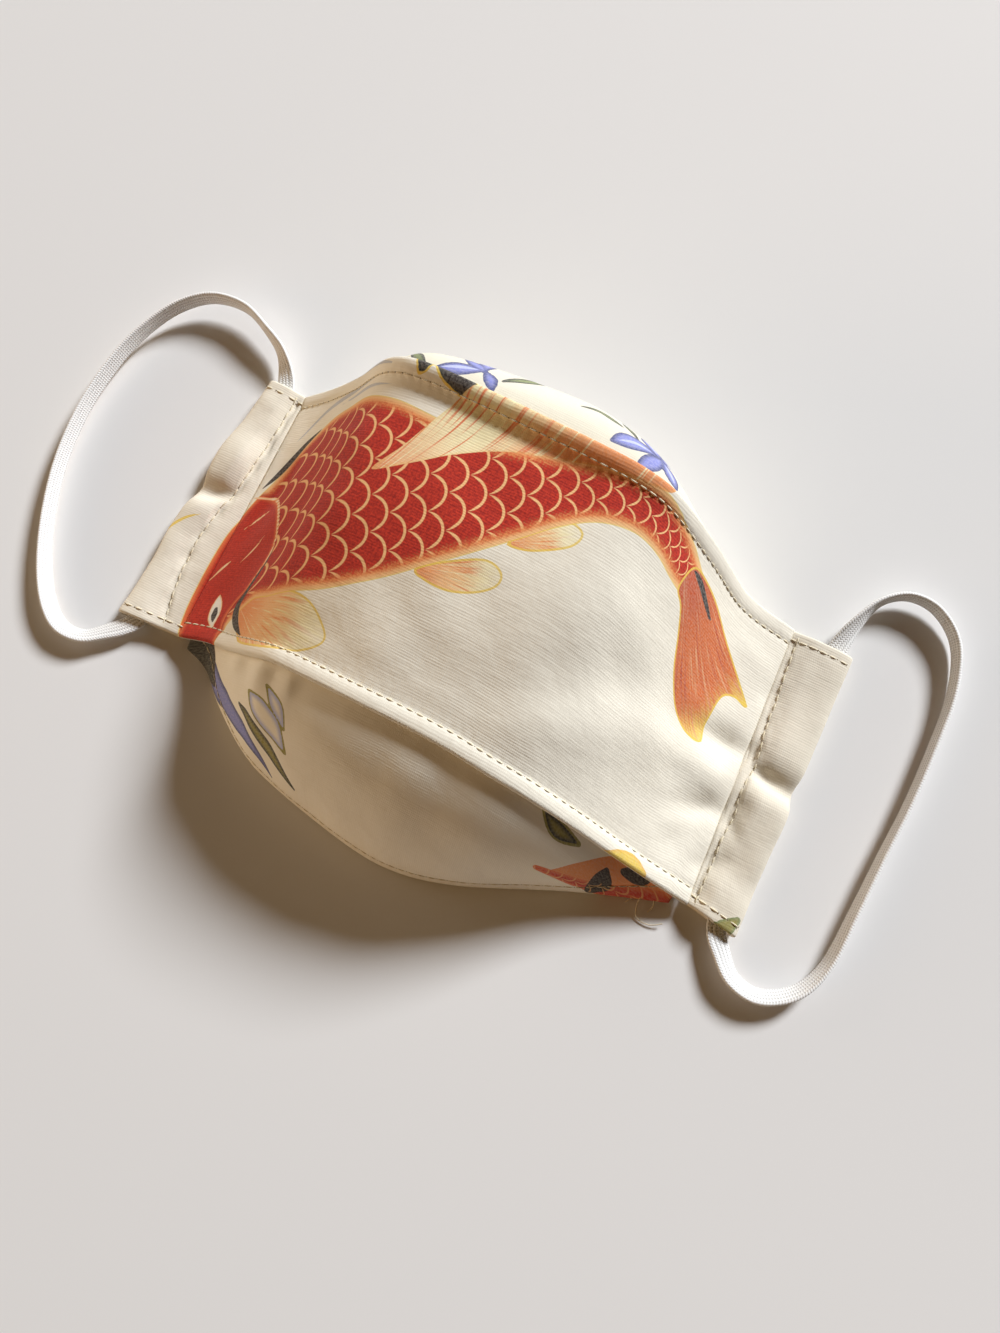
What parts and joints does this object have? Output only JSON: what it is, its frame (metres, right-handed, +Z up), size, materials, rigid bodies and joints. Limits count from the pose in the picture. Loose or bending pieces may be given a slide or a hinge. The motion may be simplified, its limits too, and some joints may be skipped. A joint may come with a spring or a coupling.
{
  "type": "cloth face mask",
  "caption": "Fabric face mask with a domed front panel, tucked nose and chin panels, side casings and flat elastic ear loops.",
  "frame": {"origin": "on the resting plane, under the centre of the cloth's box, with the ear loops left out", "axes": "+X along the mask's width, +Y towards the nose edge, +Z up out of the front face"},
  "size_m": [0.2508, 0.1294, 0.0499],
  "materials": {
    "front_cotton": "matt printed cotton",
    "nose_cotton": "matt printed cotton",
    "chin_cotton": "matt printed cotton",
    "casing_cotton": "matt cotton",
    "elastic": "matt knitted elastic"
  },
  "bodies": {
    "root": {"front_panel": "front_cotton", "nose_panel": "nose_cotton", "chin_panel": "chin_cotton", "left_casing": "casing_cotton", "right_casing": "casing_cotton", "left_ear_loop": "elastic", "right_ear_loop": "elastic"}
  },
  "joints": []
}
